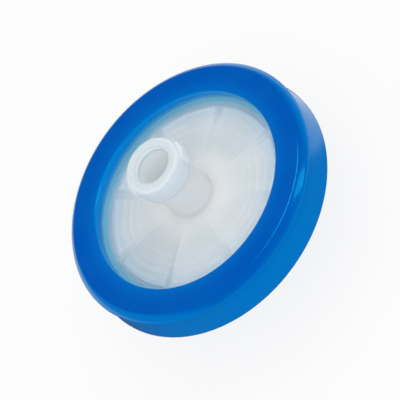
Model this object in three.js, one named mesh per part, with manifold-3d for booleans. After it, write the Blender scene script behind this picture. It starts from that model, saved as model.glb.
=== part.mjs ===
// Syringe filter for liquids: a clear inlet cap with a female Luer-lock hub and a clear outlet base with a
// male Luer tip clamp a membrane disc, and a coloured ring moulded over both rims holds the stack together.
// Units are millimetres. +Z is the common axis, from the outlet tip up to the inlet hub; z = 0 is the end
// face of the tip.
import * as THREE from 'three';
import { mergeVertices } from 'three/addons/utils/BufferGeometryUtils.js';
import Module from 'manifold-3d';

const wasm = await Module();
wasm.setup();

// ---- Facets -------------------------------------------------------------------------------------------
const SEGMENTS = 64; // round the axis, the same for every piece so that seated walls meet facet to facet
const ROUND_STEPS = 2; // half the chords of a rounded profile corner
const CUT_OVERRUN = 0.5; // how far a cutter reaches past the face that it opens
const WELD_DISTANCE = 1e-4; // vertices this close are one

// ---- Nominal size: the radial widths from here on add up to a filter 31 mm across ----------------------
const MEMBRANE_DIAMETER = 25.0;
const MEMBRANE_THICKNESS = 0.15;
const MEMBRANE_CLEARANCE = 0.1; // radial, in the base's seat
const MEMBRANE_GRIP = 0.8; // band of the membrane that the cap's rim clamps
const WELD_BAND = 1.4; // rim of the base outside the membrane's seat

// ---- Over-moulded ring --------------------------------------------------------------------------------
const RING_WALL = 1.48; // round the housings, at the bead
const RING_GAP = 0.02; // radial shrinkage gap between ring and housings
const LIP_OVERLAP = 2.32; // reach of both lips over the housings' rims
const FRONT_LIP = 1.3; // thickness of the ring over the inlet cap's rim
const BACK_LIP = 0.7; // thickness of the ring under the outlet base's rim
const BEVEL_WIDTH = 0.87; // from the bead in to the edge of the front face
const BEVEL_DROP = 0.87;
const BEVEL_CROWN = 0.06; // bulge of the bevel
const BEAD_LAND = 0.2;
const WAIST_DEPTH = 0.3; // step in behind the bead; the side wall flares out again to the rear
const WAIST_SLOPE = 0.15;
const REAR_CHAMFER = 0.45;
const WINDOW_ROUND = 0.15;

// ---- Housings -----------------------------------------------------------------------------------------
const BASE_RIM_THICKNESS = 1.4;
const CAP_RIM_THICKNESS = 1.6;
const CHAMBER_GAP = 0.2; // between the membrane and the cap's roof
const FLOOR_THICKNESS = 0.78; // of the cap, under the channels

// ---- Face of the inlet cap ----------------------------------------------------------------------------
const SLOPE_GAP = 0.1; // flat left between the ring's window and the slope down to the floor
const SLOPE_RUN = 0.63; // radial width of that slope
const PAD_HEIGHT = 0.2; // raised sectors above the floor, at their outer edge
const PAD_RISE = 0.18; // further rise of the sectors from there to the hub's foot
const PAD_INSET = 0.2; // from the floor's edge in to the sectors
const PAD_DRAFT = 0.08;
const RIDGE_COUNT = 4;
const RIDGE_PITCH = 0.97;
const RIDGE_OFFSET = 0.2; // from the sectors' edge in to the first crest
const RIDGE_WIDTH = 0.44;
const RIDGE_CREST = 0.16;
const RIDGE_HEIGHT = 0.06;
const CHANNEL_COUNT = 8;
const CHANNEL_START = THREE.MathUtils.degToRad(27);
const CHANNEL_OUTER_WIDTH = 0.9;
const CHANNEL_INNER_WIDTH = 0.4;
const CHANNEL_MARGIN = 0.45; // left between the hub's foot and the channels
const CHANNEL_RISE = 0.33; // of their floor towards the hub, where they run out
const SPREAD_DEPTH = 0.25; // radial grooves in the cap's roof
const SPREAD_OUTER_WIDTH = 0.9;
const SPREAD_INNER_WIDTH = 0.4;

// ---- Inlet hub, female Luer lock ----------------------------------------------------------------------
const HUB_HEIGHT = 6.35; // above the front face of the ring
const LUER_TAPER = 0.06; // on the diameter
const SOCKET_MOUTH_DIAMETER = 4.3;
const LEAD_IN = 0.1; // radial, round the mouth of the socket
const LEAD_IN_DEPTH = 0.3;
const THROAT_DIAMETER = 2.4; // hole from the socket's shoulder to the chamber
const THROAT_LENGTH = 1.45;
const THROAT_FLARE = 0.3; // at the throat's lower end
const HUB_WALL = 0.62; // below the collar
const HUB_FOOT_RADIUS = 0.45;
const COLLAR_WALL = 1.15; // at the mouth; the collar carries the lugs
const COLLAR_ROUND = 0.4;
const COLLAR_SKIRT = 0.3; // of the collar below the lugs
const COLLAR_SLOPE = 0.35;
const LUG_REACH = 0.35; // out of the collar
const LUG_WIDTH = 2.6;
const LUG_DROP = 0.6; // below the hub's rim
const LUG_HEIGHT = 1.5;
const LUG_ROUND = 0.2;
const LUG_UNDERCUT = 0.5; // axial run of the sloping underside
const LUG_LEAD = THREE.MathUtils.degToRad(9); // helix angle of the undersides
const LUG_TURN = -22.5; // degrees round the axis from +X to the first lug

// ---- Outlet, male Luer slip ---------------------------------------------------------------------------
const TIP_LENGTH = 7.0; // the tapered length
const TIP_END_DIAMETER = 3.95;
const TIP_CHAMFER = 0.2;
const TIP_BORE_DIAMETER = 2.1;
const BOSS_REACH = 1.1; // of the boss beyond the back face of the ring
const BOSS_SHOULDER = 1.015; // radial, round the root of the tip
const BOSS_FLARE = 1.3; // radial, from the boss's end to the base
const BOSS_ROUND = 0.4;
const FUNNEL_FLARE = 1.15; // radial, from the bore out to the funnel's mouth
const DRAIN_DEPTH = 0.45; // of the grooves under the membrane
const DRAIN_WIDTH = 0.7;
const DRAIN_PITCH = 1.75;
const DRAIN_EDGE = 0.9; // support left outside the outermost groove
const DRAIN_LAND = 0.5; // least support left round the funnel
const DRAIN_CHANNEL_WIDTH = 0.9;

// ---- Levels along the axis ----------------------------------------------------------------------------
const Z_TIP = 0;
const Z_TIP_ROOT = Z_TIP + TIP_LENGTH;
const Z_RING_BACK = Z_TIP_ROOT + BOSS_REACH;
const Z_BASE_UNDER = Z_RING_BACK + BACK_LIP;
const Z_JOINT = Z_BASE_UNDER + BASE_RIM_THICKNESS;
const Z_CAP_TOP = Z_JOINT + CAP_RIM_THICKNESS;
const Z_RING_FRONT = Z_CAP_TOP + FRONT_LIP;
const Z_SEAT = Z_JOINT - MEMBRANE_THICKNESS;
const Z_DRAIN = Z_SEAT - DRAIN_DEPTH;
const Z_ROOF = Z_JOINT + CHAMBER_GAP;
const Z_SHOULDER = Z_ROOF + THROAT_LENGTH;
const Z_FLOOR = Z_ROOF + FLOOR_THICKNESS;
const Z_PAD = Z_FLOOR + PAD_HEIGHT;
const Z_RIM = Z_RING_FRONT + HUB_HEIGHT;
const Z_COLLAR = Z_RIM - LUG_DROP - LUG_HEIGHT - LUG_UNDERCUT - COLLAR_SKIRT;

// ---- Radii, from the membrane out and from the two bores out --------------------------------------------
const MEMBRANE_RADIUS = MEMBRANE_DIAMETER / 2;
const SEAT_RADIUS = MEMBRANE_RADIUS + MEMBRANE_CLEARANCE;
const CHAMBER_RADIUS = MEMBRANE_RADIUS - MEMBRANE_GRIP; // the wetted area on both sides of the membrane
const HOUSING_RADIUS = SEAT_RADIUS + WELD_BAND;
const RING_RADIUS = HOUSING_RADIUS + RING_GAP + RING_WALL;
const WINDOW_RADIUS = HOUSING_RADIUS - LIP_OVERLAP;
const FLOOR_RADIUS = WINDOW_RADIUS - SLOPE_GAP - SLOPE_RUN;
const PAD_RADIUS = FLOOR_RADIUS - PAD_INSET;
const MOUTH_RADIUS = SOCKET_MOUTH_DIAMETER / 2;
const COLLAR_RADIUS = MOUTH_RADIUS + COLLAR_WALL;
const LUG_RADIUS = COLLAR_RADIUS + LUG_REACH;
const TIP_BORE_RADIUS = TIP_BORE_DIAMETER / 2;
const TIP_END_RADIUS = TIP_END_DIAMETER / 2;
const TIP_ROOT_RADIUS = TIP_END_RADIUS + (LUER_TAPER / 2) * TIP_LENGTH;
const BOSS_RADIUS = TIP_ROOT_RADIUS + BOSS_SHOULDER;
const FUNNEL_RADIUS = TIP_BORE_RADIUS + FUNNEL_FLARE;
const OUTER_DRAIN_RADIUS = CHAMBER_RADIUS - DRAIN_EDGE;
const DRAIN_BAND = OUTER_DRAIN_RADIUS - DRAIN_WIDTH - FUNNEL_RADIUS - DRAIN_LAND;
const DRAIN_COUNT = Math.floor(DRAIN_BAND / DRAIN_PITCH) + 1;

// Radius of the tapered socket at a level below its mouth.
function socketRadius(z) {
  return MOUTH_RADIUS - (LUER_TAPER / 2) * (Z_RIM - LEAD_IN_DEPTH - z);
}

// Radius of the hub's thin wall at a level; it keeps the same thickness round the tapered socket.
function hubRadius(z) {
  return socketRadius(z) + HUB_WALL;
}

const HUB_FOOT = hubRadius(Z_PAD) + HUB_FOOT_RADIUS; // radius at which the hub's fillet meets the sectors

// Level of the sectors' faces at a radius: they rise towards the hub.
function padLevel(radius) {
  return Z_PAD + (PAD_RISE * (PAD_RADIUS - radius)) / (PAD_RADIUS - HUB_FOOT);
}

// A material with the colour and gloss of one moulded part.
function plastic(colour, roughness, opacity = 1) {
  return new THREE.MeshStandardMaterial({
    color: colour,
    roughness,
    metalness: 0,
    opacity,
    transparent: opacity < 1,
  });
}

const CLEAR_PLASTIC = plastic(0xe3ebee, 0.25, 0.55);
const RING_PLASTIC = plastic(0x0064c0, 0.22);
const MEMBRANE_FILM = plastic(0xf6f7f7, 0.85);

// Revolves a closed outline in (radius, height) round the Z axis.
function revolve(outline) {
  const points = outline.getPoints(ROUND_STEPS);
  const kept = points.filter((p, i) => i === 0 || p.distanceTo(points[i - 1]) > WELD_DISTANCE);
  const geometry = new THREE.LatheGeometry(kept, SEGMENTS);
  geometry.rotateX(Math.PI / 2);
  return geometry;
}

// A solid for boolean work, from a closed geometry.
function toSolid(geometry) {
  const bare = geometry.clone();
  bare.deleteAttribute('normal');
  bare.deleteAttribute('uv');
  const merged = mergeVertices(bare, WELD_DISTANCE);
  const mesh = new wasm.Mesh({
    numProp: 3,
    vertProperties: merged.attributes.position.array,
    triVerts: merged.index.array,
  });
  return new wasm.Manifold(mesh);
}

// A geometry for display, from a solid.
function toGeometry(solid) {
  const mesh = solid.getMesh();
  const geometry = new THREE.BufferGeometry();
  geometry.setAttribute('position', new THREE.BufferAttribute(new Float32Array(mesh.vertProperties), 3));
  geometry.setIndex(new THREE.BufferAttribute(new Uint32Array(mesh.triVerts), 1));
  geometry.computeVertexNormals();
  return geometry;
}

// A named mesh that stands on the common axis.
function piece(name, geometry, material) {
  const mesh = new THREE.Mesh(geometry, material);
  mesh.name = name;
  return mesh;
}

// Prisms cut radially between two radii, wider at the outer end. Their underside is at a level there, and
// rises from it to the inner end.
function radialCutters({ count, start, inner, outer, innerWidth, outerWidth, bottom, top, rise = 0 }) {
  const outline = new THREE.Shape();
  outline.moveTo(inner - outer, -innerWidth / 2);
  outline.lineTo(0, -outerWidth / 2);
  outline.lineTo(0, outerWidth / 2);
  outline.lineTo(inner - outer, innerWidth / 2);
  outline.closePath();
  const cutters = [];
  for (let i = 0; i < count; i += 1) {
    const prism = new THREE.ExtrudeGeometry(outline, { depth: top - bottom, bevelEnabled: false });
    prism.rotateY(Math.atan2(rise, outer - inner));
    prism.translate(outer, 0, bottom);
    prism.rotateZ(start + (i * 2 * Math.PI) / count);
    cutters.push(toSolid(prism));
  }
  return cutters;
}

// Takes every cutter away from a solid.
function cutAll(solid, cutters) {
  return cutters.reduce((rest, cutter) => rest.subtract(cutter), solid);
}

// The coloured ring: a C section that wraps the rims of both housings, with a bevelled front bead.
function makeOuterRing() {
  const waistTop = Z_RING_FRONT - BEVEL_DROP - BEAD_LAND;
  const innerRadius = HOUSING_RADIUS + RING_GAP;
  const outline = new THREE.Path();
  outline.moveTo(WINDOW_RADIUS, Z_RING_BACK);
  outline.lineTo(RING_RADIUS - REAR_CHAMFER, Z_RING_BACK);
  outline.lineTo(RING_RADIUS, Z_RING_BACK + REAR_CHAMFER);
  outline.lineTo(RING_RADIUS - WAIST_DEPTH, waistTop - WAIST_SLOPE);
  outline.lineTo(RING_RADIUS, waistTop);
  outline.lineTo(RING_RADIUS, waistTop + BEAD_LAND);
  const bevelMiddle = [RING_RADIUS - BEVEL_WIDTH / 2, Z_RING_FRONT - BEVEL_DROP / 2];
  const bulge = (2 * BEVEL_CROWN) / Math.hypot(BEVEL_WIDTH, BEVEL_DROP);
  const crown = [bevelMiddle[0] + bulge * BEVEL_DROP, bevelMiddle[1] + bulge * BEVEL_WIDTH];
  outline.quadraticCurveTo(...crown, RING_RADIUS - BEVEL_WIDTH, Z_RING_FRONT);
  outline.lineTo(WINDOW_RADIUS + WINDOW_ROUND, Z_RING_FRONT);
  const roundCentre = [WINDOW_RADIUS + WINDOW_ROUND, Z_RING_FRONT - WINDOW_ROUND];
  outline.absarc(...roundCentre, WINDOW_ROUND, Math.PI / 2, Math.PI, false);
  outline.lineTo(WINDOW_RADIUS, Z_CAP_TOP);
  outline.lineTo(innerRadius, Z_CAP_TOP);
  outline.lineTo(innerRadius, Z_BASE_UNDER);
  outline.lineTo(WINDOW_RADIUS, Z_BASE_UNDER);
  outline.closePath();
  return piece('outer_ring', revolve(outline), RING_PLASTIC);
}

// The turned form of the inlet cap: flat rim, recessed floor with ridged sectors, and the tapered hub.
function capOutline() {
  const throatRadius = THROAT_DIAMETER / 2;
  const round = Math.min(COLLAR_ROUND, COLLAR_WALL - LEAD_IN);
  const outline = new THREE.Path();
  outline.moveTo(throatRadius + THROAT_FLARE, Z_ROOF);
  outline.lineTo(CHAMBER_RADIUS, Z_ROOF);
  outline.lineTo(CHAMBER_RADIUS, Z_JOINT);
  outline.lineTo(HOUSING_RADIUS, Z_JOINT);
  outline.lineTo(HOUSING_RADIUS, Z_CAP_TOP);
  outline.lineTo(WINDOW_RADIUS - SLOPE_GAP, Z_CAP_TOP);
  outline.quadraticCurveTo(FLOOR_RADIUS + PAD_INSET, Z_FLOOR, FLOOR_RADIUS, Z_FLOOR);
  outline.lineTo(PAD_RADIUS, Z_FLOOR);
  outline.lineTo(PAD_RADIUS - PAD_DRAFT, padLevel(PAD_RADIUS - PAD_DRAFT));
  for (let i = 0; i < RIDGE_COUNT; i += 1) {
    const crest = PAD_RADIUS - PAD_DRAFT - RIDGE_OFFSET - RIDGE_WIDTH / 2 - i * RIDGE_PITCH;
    const top = padLevel(crest) + RIDGE_HEIGHT;
    outline.lineTo(crest + RIDGE_WIDTH / 2, padLevel(crest + RIDGE_WIDTH / 2));
    outline.lineTo(crest + RIDGE_CREST / 2, top);
    outline.lineTo(crest - RIDGE_CREST / 2, top);
    outline.lineTo(crest - RIDGE_WIDTH / 2, padLevel(crest - RIDGE_WIDTH / 2));
  }
  const footCentre = [HUB_FOOT, padLevel(HUB_FOOT) + HUB_FOOT_RADIUS];
  outline.absarc(...footCentre, HUB_FOOT_RADIUS, -Math.PI / 2, -Math.PI, true);
  outline.lineTo(hubRadius(Z_COLLAR), Z_COLLAR);
  outline.lineTo(COLLAR_RADIUS, Z_COLLAR + COLLAR_SLOPE);
  outline.lineTo(COLLAR_RADIUS, Z_RIM - round);
  outline.absarc(COLLAR_RADIUS - round, Z_RIM - round, round, 0, Math.PI / 2, false);
  outline.lineTo(MOUTH_RADIUS + LEAD_IN, Z_RIM);
  outline.lineTo(MOUTH_RADIUS, Z_RIM - LEAD_IN_DEPTH);
  outline.lineTo(socketRadius(Z_SHOULDER), Z_SHOULDER);
  outline.lineTo(throatRadius, Z_SHOULDER);
  outline.lineTo(throatRadius, Z_ROOF + THROAT_FLARE);
  outline.closePath();
  return outline;
}

// The two Luer-lock lugs: a collar cut down to a bar across the hub, with undersides on the thread's lead.
function makeLugs() {
  const top = Z_RIM - LUG_DROP;
  const bottom = top - LUG_HEIGHT;
  const inside = COLLAR_RADIUS - COLLAR_WALL / 2;
  const outline = new THREE.Path();
  outline.moveTo(inside, bottom - LUG_UNDERCUT);
  outline.lineTo(COLLAR_RADIUS, bottom - LUG_UNDERCUT);
  outline.lineTo(LUG_RADIUS, bottom);
  outline.lineTo(LUG_RADIUS, top - LUG_ROUND);
  outline.absarc(LUG_RADIUS - LUG_ROUND, top - LUG_ROUND, LUG_ROUND, 0, Math.PI / 2, false);
  outline.lineTo(inside, top);
  outline.closePath();
  const collar = toSolid(revolve(outline));
  const barLength = 2 * (LUG_RADIUS + CUT_OVERRUN);
  const bar = new THREE.BoxGeometry(barLength, LUG_WIDTH, 2 * (LUG_HEIGHT + LUG_UNDERCUT + CUT_OVERRUN));
  bar.translate(0, 0, top);
  const lugs = collar.intersect(toSolid(bar)).subtract(leadWedges(bottom - LUG_UNDERCUT));
  return lugs.rotate([0, 0, LUG_TURN]);
}

// Two wedges that cut the lugs' undersides to the thread's lead, one under each lug.
function leadWedges(bottom) {
  const half = LUG_WIDTH / 2;
  const rise = LUG_WIDTH * Math.tan(LUG_LEAD);
  const outline = new THREE.Shape();
  outline.moveTo(-half - CUT_OVERRUN, -CUT_OVERRUN);
  outline.lineTo(half + CUT_OVERRUN, -CUT_OVERRUN);
  outline.lineTo(half + CUT_OVERRUN, rise + CUT_OVERRUN * Math.tan(LUG_LEAD));
  outline.lineTo(-half, 0);
  outline.closePath();
  const reach = LUG_RADIUS + CUT_OVERRUN;
  const wedges = [0, Math.PI].map((turn) => {
    const wedge = new THREE.ExtrudeGeometry(outline, { depth: reach, bevelEnabled: false });
    wedge.rotateX(Math.PI / 2);
    wedge.rotateZ(Math.PI / 2);
    wedge.translate(0, 0, bottom);
    wedge.rotateZ(turn);
    return toSolid(wedge);
  });
  return wedges[0].add(wedges[1]);
}

// The clear inlet cap, with feed channels between the sectors outside and spreading grooves inside.
function makeInletHousing() {
  const channels = radialCutters({
    count: CHANNEL_COUNT,
    start: CHANNEL_START,
    inner: HUB_FOOT + CHANNEL_MARGIN,
    outer: PAD_RADIUS + PAD_INSET / 2,
    innerWidth: CHANNEL_INNER_WIDTH,
    outerWidth: CHANNEL_OUTER_WIDTH,
    bottom: Z_FLOOR,
    top: Z_PAD + PAD_RISE + RIDGE_HEIGHT + CUT_OVERRUN,
    rise: CHANNEL_RISE,
  });
  const grooves = radialCutters({
    count: CHANNEL_COUNT,
    start: CHANNEL_START + Math.PI / CHANNEL_COUNT,
    inner: 0,
    outer: CHAMBER_RADIUS - SPREAD_OUTER_WIDTH / 2,
    innerWidth: SPREAD_INNER_WIDTH,
    outerWidth: SPREAD_OUTER_WIDTH,
    bottom: Z_JOINT,
    top: Z_ROOF + SPREAD_DEPTH,
  });
  const turned = toSolid(revolve(capOutline())).add(makeLugs());
  const solid = cutAll(turned, [...channels, ...grooves]);
  return piece('inlet_housing', toGeometry(solid), CLEAR_PLASTIC);
}

// The turned form of the outlet base: membrane seat with ring grooves, boss and tapered tip.
function baseOutline() {
  const outline = new THREE.Path();
  outline.moveTo(TIP_BORE_RADIUS, Z_TIP);
  outline.lineTo(TIP_END_RADIUS - TIP_CHAMFER, Z_TIP);
  outline.lineTo(TIP_END_RADIUS, Z_TIP + TIP_CHAMFER);
  outline.lineTo(TIP_ROOT_RADIUS, Z_TIP_ROOT);
  outline.lineTo(BOSS_RADIUS - BOSS_ROUND, Z_TIP_ROOT);
  outline.absarc(BOSS_RADIUS - BOSS_ROUND, Z_TIP_ROOT + BOSS_ROUND, BOSS_ROUND, -Math.PI / 2, 0, false);
  outline.lineTo(BOSS_RADIUS + BOSS_FLARE, Z_BASE_UNDER);
  outline.lineTo(HOUSING_RADIUS, Z_BASE_UNDER);
  outline.lineTo(HOUSING_RADIUS, Z_JOINT);
  outline.lineTo(SEAT_RADIUS, Z_JOINT);
  outline.lineTo(SEAT_RADIUS, Z_SEAT);
  for (let i = 0; i < DRAIN_COUNT; i += 1) {
    const outer = OUTER_DRAIN_RADIUS - i * DRAIN_PITCH;
    outline.lineTo(outer, Z_SEAT);
    outline.lineTo(outer, Z_DRAIN);
    outline.lineTo(outer - DRAIN_WIDTH, Z_DRAIN);
    outline.lineTo(outer - DRAIN_WIDTH, Z_SEAT);
  }
  outline.lineTo(FUNNEL_RADIUS, Z_SEAT);
  outline.lineTo(FUNNEL_RADIUS, Z_DRAIN);
  outline.lineTo(TIP_BORE_RADIUS, Z_DRAIN - FUNNEL_FLARE);
  outline.closePath();
  return outline;
}

// The clear outlet base: radial drains join the ring grooves and lead to the funnel over the bore.
function makeOutletHousing() {
  const drains = radialCutters({
    count: CHANNEL_COUNT,
    start: CHANNEL_START,
    inner: TIP_BORE_RADIUS,
    outer: OUTER_DRAIN_RADIUS - DRAIN_WIDTH / 2,
    innerWidth: DRAIN_CHANNEL_WIDTH,
    outerWidth: DRAIN_CHANNEL_WIDTH,
    bottom: Z_DRAIN,
    top: Z_JOINT + CUT_OVERRUN,
  });
  const solid = cutAll(toSolid(revolve(baseOutline())), drains);
  return piece('outlet_housing', toGeometry(solid), CLEAR_PLASTIC);
}

// The filter membrane: a thin disc that lies in the base's seat and is clamped by the cap's rim.
function makeMembrane() {
  const outline = new THREE.Path();
  outline.moveTo(0, Z_SEAT);
  outline.lineTo(MEMBRANE_RADIUS, Z_SEAT);
  outline.lineTo(MEMBRANE_RADIUS, Z_JOINT);
  outline.lineTo(0, Z_JOINT);
  return piece('membrane', revolve(outline), MEMBRANE_FILM);
}

const syringeFilter = new THREE.Group();
syringeFilter.name = 'syringe_filter';
syringeFilter.add(makeOuterRing(), makeInletHousing(), makeMembrane(), makeOutletHousing());

export default syringeFilter;
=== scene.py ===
"""A disc syringe filter standing on its outlet tip on a pale floor, lit softly in a white surround.

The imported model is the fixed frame: its boxes give every level and outer radius used here. Each of the four
moulded pieces is turned again as a fine surface with rounded edges, and is dressed with a procedural finish.
Lengths are metres. +Z is the common axis, from the end of the outlet tip up to the mouth of the inlet hub.
"""

from __future__ import annotations

import logging
import math
from dataclasses import dataclass
from enum import Enum
from typing import Optional

import bpy
import numpy as np
from mathutils import Matrix, Vector


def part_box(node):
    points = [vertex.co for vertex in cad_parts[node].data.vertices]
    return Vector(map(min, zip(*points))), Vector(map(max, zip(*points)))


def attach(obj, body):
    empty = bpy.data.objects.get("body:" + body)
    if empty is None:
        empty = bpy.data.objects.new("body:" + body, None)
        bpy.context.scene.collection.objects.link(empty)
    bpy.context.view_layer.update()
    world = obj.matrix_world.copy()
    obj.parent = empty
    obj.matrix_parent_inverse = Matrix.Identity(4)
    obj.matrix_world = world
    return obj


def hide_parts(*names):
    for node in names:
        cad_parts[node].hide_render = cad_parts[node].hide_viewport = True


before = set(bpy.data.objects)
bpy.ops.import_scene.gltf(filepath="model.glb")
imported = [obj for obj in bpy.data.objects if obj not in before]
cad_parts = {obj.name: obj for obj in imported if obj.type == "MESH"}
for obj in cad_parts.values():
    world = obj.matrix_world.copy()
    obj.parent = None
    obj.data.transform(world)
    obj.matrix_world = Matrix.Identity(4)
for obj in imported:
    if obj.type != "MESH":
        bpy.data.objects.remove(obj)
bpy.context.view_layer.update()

LOG = logging.getLogger("syringe_filter")

MM = 0.001
ROOT_BODY = "root"
LUER_TAPER = 0.06  # on the diameter, for both fittings
CHANNEL_COUNT = 8
CHANNEL_START = math.radians(27)
PERIOD = 2 * math.pi / CHANNEL_COUNT
ON_AXIS = 1e-9  # a point nearer to the axis than this lies on it
SHARP = 0.0  # fillet of a corner that stays sharp
ABOVE_ALL = 1.0  # a level higher than every piece

# Colour of the socket's wall at depths below the rim, all painted light and shade: dark rings of painted
# shade, bright rings of painted highlight, then the plain wall painted pale against the shade inside the
# socket
SOCKET_SHADE_AND_HIGHLIGHT = (
    (0.0 * MM, (0.6, 0.7, 0.78, 1.0)),
    (0.14 * MM, (0.6, 0.7, 0.78, 1.0)),
    (0.32 * MM, (0.98, 1.0, 1.0, 1.0)),
    (0.46 * MM, (0.98, 1.0, 1.0, 1.0)),
    (0.72 * MM, (0.64, 0.76, 0.84, 1.0)),
    (0.88 * MM, (0.64, 0.76, 0.84, 1.0)),
    (1.15 * MM, (0.9, 0.99, 1.0, 1.0)),
    (1.45 * MM, (0.84, 0.95, 1.0, 1.0)),
    (1.7 * MM, (0.93, 1.0, 1.0, 1.0)),
    (5.0 * MM, (0.94, 1.0, 1.0, 1.0)),
)

# Painted light and shade: tone of each sector between two channels, from the first channel on, darker where
# the hub's shadow falls and lighter where the light falls
PAINTED_SECTOR_SHADES = (1.0, 1.0, 0.95, 0.86, 1.0, 1.06, 1.05, 0.96)

Colour = tuple[float, float, float, float]
Span = tuple[float, float]
Wire = bpy.types.NodeSocket


def smooth_step(value: np.ndarray | float, low: float, high: float) -> np.ndarray:
    """Rises smoothly from 0 at low to 1 at high.

    Args:
        value: What is measured.
        low: Where the rise starts.
        high: Where the rise ends.

    Returns:
        A share from 0 to 1 for each value.
    """
    share = np.clip((np.asarray(value, float) - low) / (high - low), 0.0, 1.0)
    return share * share * (3.0 - 2.0 * share)


def shifted(span: Span, by: float) -> Span:
    """Moves both ends of a span."""
    return by + span[0], by + span[1]


# ---------------------------------------------------------------------------------------------------------
# Sizes that the pieces share
# ---------------------------------------------------------------------------------------------------------


@dataclass(frozen=True)
class Stack:
    """Levels and outer radii of the four pieces, as the frame's boxes give them.

    Args:
        tip: End of the outlet tip, on the floor.
        ring_back: Back face of the coloured ring.
        seat: Face that the membrane lies on.
        joint: Face where the two housings meet.
        ring_front: Front face of the coloured ring.
        rim: Mouth of the inlet hub.
        membrane_radius: Outer radius of the membrane.
        housing_radius: Outer radius of both housings.
        ring_radius: Outer radius of the ring's bead.
    """

    tip: float
    ring_back: float
    seat: float
    joint: float
    ring_front: float
    rim: float
    membrane_radius: float
    housing_radius: float
    ring_radius: float

    @classmethod
    def from_frame(cls) -> "Stack":
        """Reads the boxes of the four nodes.

        Returns:
            The levels and radii.
        """
        ring_low, ring_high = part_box("outer_ring")
        _, cap_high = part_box("inlet_housing")
        film_low, film_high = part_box("membrane")
        base_low, base_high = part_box("outlet_housing")
        return cls(
            tip=base_low[2],
            ring_back=ring_low[2],
            seat=film_low[2],
            joint=base_high[2],
            ring_front=ring_high[2],
            rim=cap_high[2],
            membrane_radius=film_high[0],
            housing_radius=base_high[0],
            ring_radius=ring_high[0],
        )


@dataclass(frozen=True)
class Lips:
    """How the ring wraps the housings' rims.

    Args:
        overlap: Reach of the lips over the rims.
        front: Thickness of the lip over the cap's rim.
        back: Thickness of the lip under the base's rim.
        gap: Clearance kept between the ring and the rims.
        shut: Hair's breadth by which the rims stay clear of the faces that they touch.
    """

    overlap: float = 2.32 * MM
    front: float = 1.3 * MM
    back: float = 0.7 * MM
    gap: float = 0.02 * MM
    shut: float = 0.004 * MM

    def window(self, stack: Stack) -> float:
        """Radius of the ring's window."""
        return stack.housing_radius - self.overlap


# ---------------------------------------------------------------------------------------------------------
# Turned surfaces
# ---------------------------------------------------------------------------------------------------------


@dataclass(frozen=True)
class Corner:
    """A corner of an outline.

    Args:
        radius: Distance from the axis.
        height: Level along the axis.
        fillet: Radius that rounds the corner.
        splits: Equal steps into which the stretch that leads here is cut.
        zone: Name of the part of the surface that the stretch belongs to.
    """

    radius: float
    height: float
    fillet: float
    splits: int
    zone: str


class Outline:
    """A closed outline in (radius, height) with rounded corners, walked with the material on its left."""

    ARC_STEP = math.radians(18)
    LEAST_TURN = math.radians(2)  # of a corner that is worth rounding
    ARM_SHARE = 0.49  # most of a stretch that one fillet may take

    def __init__(self, zone: str = "", fillet: float = 0.03 * MM) -> None:
        """Starts an empty outline.

        Args:
            zone: Zone of the first stretches.
            fillet: Radius used for a corner that names none.
        """
        self.corners: list[Corner] = []
        self.zone = zone
        self.fillet = fillet

    def to(
        self,
        radius: float,
        height: float,
        fillet: Optional[float] = None,
        splits: int = 1,
        zone: Optional[str] = None,
    ) -> "Outline":
        """Adds a corner.

        Args:
            radius: Distance from the axis.
            height: Level along the axis.
            fillet: Radius that rounds the corner, or None for the outline's own.
            splits: Equal steps of the stretch that leads here.
            zone: Zone from this stretch on.

        Returns:
            The outline, so that calls can be chained.
        """
        self.zone = self.zone if zone is None else zone
        rounding = self.fillet if fillet is None else fillet
        self.corners.append(Corner(radius, height, rounding, splits, self.zone))
        return self

    def curve(self, points: list[tuple[float, float]], zone: Optional[str] = None) -> "Outline":
        """Adds the points of a smooth curve as they are.

        Args:
            points: Radius and height of each point.
            zone: Zone from this curve on.

        Returns:
            The outline.
        """
        for radius, height in points:
            self.to(radius, height, SHARP, zone=zone)
        return self

    def _rounded(self, index: int) -> list[np.ndarray]:
        """Points that round one corner.

        Args:
            index: Place of the corner in the outline.

        Returns:
            One point for a sharp corner, or the points of its arc.
        """
        corner = self.corners[index]
        here = np.array([corner.radius, corner.height])
        before, after = self.corners[index - 1], self.corners[(index + 1) % len(self.corners)]
        back = np.array([before.radius, before.height]) - here
        ahead = np.array([after.radius, after.height]) - here
        reach = self.ARM_SHARE * min(np.linalg.norm(back), np.linalg.norm(ahead))
        back, ahead = back / np.linalg.norm(back), ahead / np.linalg.norm(ahead)
        turn = math.pi - math.acos(float(np.clip(back @ ahead, -1.0, 1.0)))
        if corner.fillet <= 0.0 or turn < self.LEAST_TURN:
            return [here]
        run = min(corner.fillet * math.tan(turn / 2), reach)
        radius = run / math.tan(turn / 2)
        bisector = (back + ahead) / np.linalg.norm(back + ahead)
        centre = here + bisector * math.hypot(run, radius)
        start = here + back * run - centre
        side = here + ahead * run - centre
        count = max(2, math.ceil(turn / self.ARC_STEP))
        points = []
        for step in range(count + 1):
            share = step / count
            low, high = math.sin((1 - share) * turn), math.sin(share * turn)
            points.append(centre + (start * low + side * high) / math.sin(turn))
        return points

    def points(self) -> tuple[np.ndarray, list[str]]:
        """Samples the outline.

        Returns:
            The points as an array of (radius, height), and the zone of each.
        """
        path: list[np.ndarray] = []
        zones: list[str] = []
        for index, corner in enumerate(self.corners):
            arc = self._rounded(index)
            if path:
                start = path[-1]
                stretch = arc[0] - start
                path.extend(start + stretch * step / corner.splits for step in range(1, corner.splits))
            path.extend(arc)
            zones.extend([corner.zone] * (len(path) - len(zones)))
        return np.array(path), zones


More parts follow.
